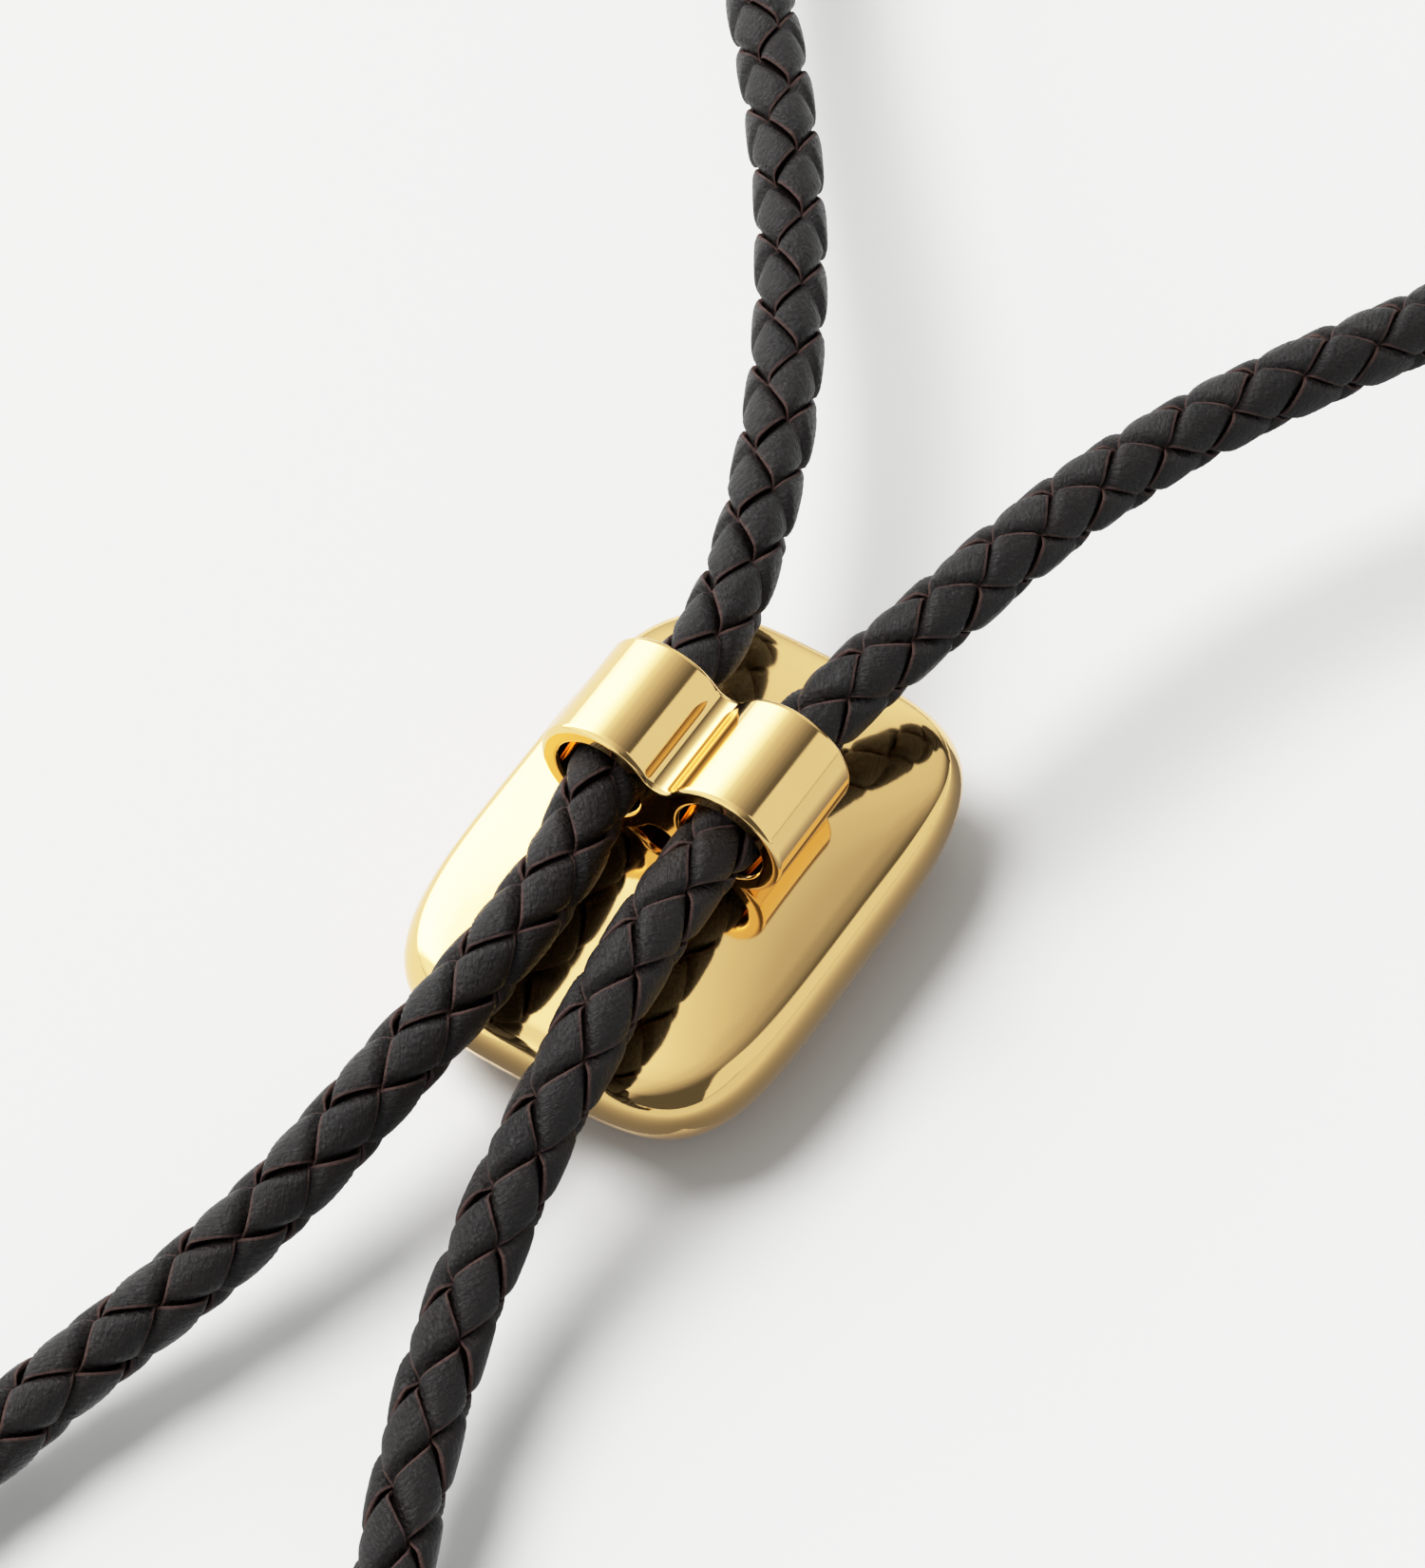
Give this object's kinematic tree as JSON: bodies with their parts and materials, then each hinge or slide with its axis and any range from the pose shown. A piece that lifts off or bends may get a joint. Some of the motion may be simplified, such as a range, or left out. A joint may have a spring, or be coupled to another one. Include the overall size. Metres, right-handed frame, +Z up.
{
  "type": "bolo tie",
  "caption": "Bolo tie: a polished cushion-shaped metal slide with a double-tube bracket on its back, on a round braided leather cord with plain metal tips.",
  "frame": {"origin": "middle of the slide's box at the floor it rests on; the slide lies on its flat front face, and the free cord and its tips are left out of that box", "axes": "+X across the slide from tube to tube, +Y along the bracket's tubes towards the neck loop, +Z up, out of the slide's back"},
  "size_m": [0.1129, 0.2847, 0.0192],
  "materials": {
    "slide_gold": "mirror-polished yellow gold plating",
    "braided_leather": "semi-matt dark brown braided leather with raw brown edges",
    "tip_gold": "polished yellow gold plating"
  },
  "bodies": {
    "root": {"slide": "slide_gold", "cord": "braided_leather", "tip_left": "tip_gold", "tip_right": "tip_gold"}
  },
  "joints": []
}
